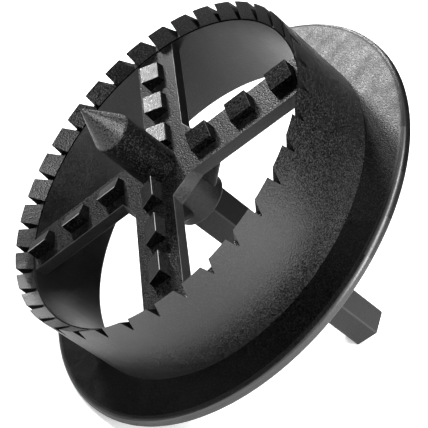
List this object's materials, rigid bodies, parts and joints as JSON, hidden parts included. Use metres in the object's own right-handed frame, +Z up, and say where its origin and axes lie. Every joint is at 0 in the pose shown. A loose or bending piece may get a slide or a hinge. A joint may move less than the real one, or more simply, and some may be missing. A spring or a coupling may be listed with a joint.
{
  "type": "polystyrene hole cutter",
  "caption": "Moulded cup-shaped cutter for foam board: toothed ring with a stop flange, four spokes with wedge blocks, a pointed centre pilot and a hexagonal shank.",
  "frame": {"origin": "on the surface that the tool lies on, under the middle of its bounding box", "axes": "+Z up; the tool's axis lies in the XZ plane and leans, with the shank's end low towards +X and the pilot's tip high towards -X; +Y runs across the tool"},
  "size_m": [0.071, 0.081, 0.068],
  "materials": {
    "black_plastic": "moulded, finely grained, satin black"
  },
  "bodies": {
    "root": {"cutter_body": "black_plastic"}
  },
  "joints": []
}
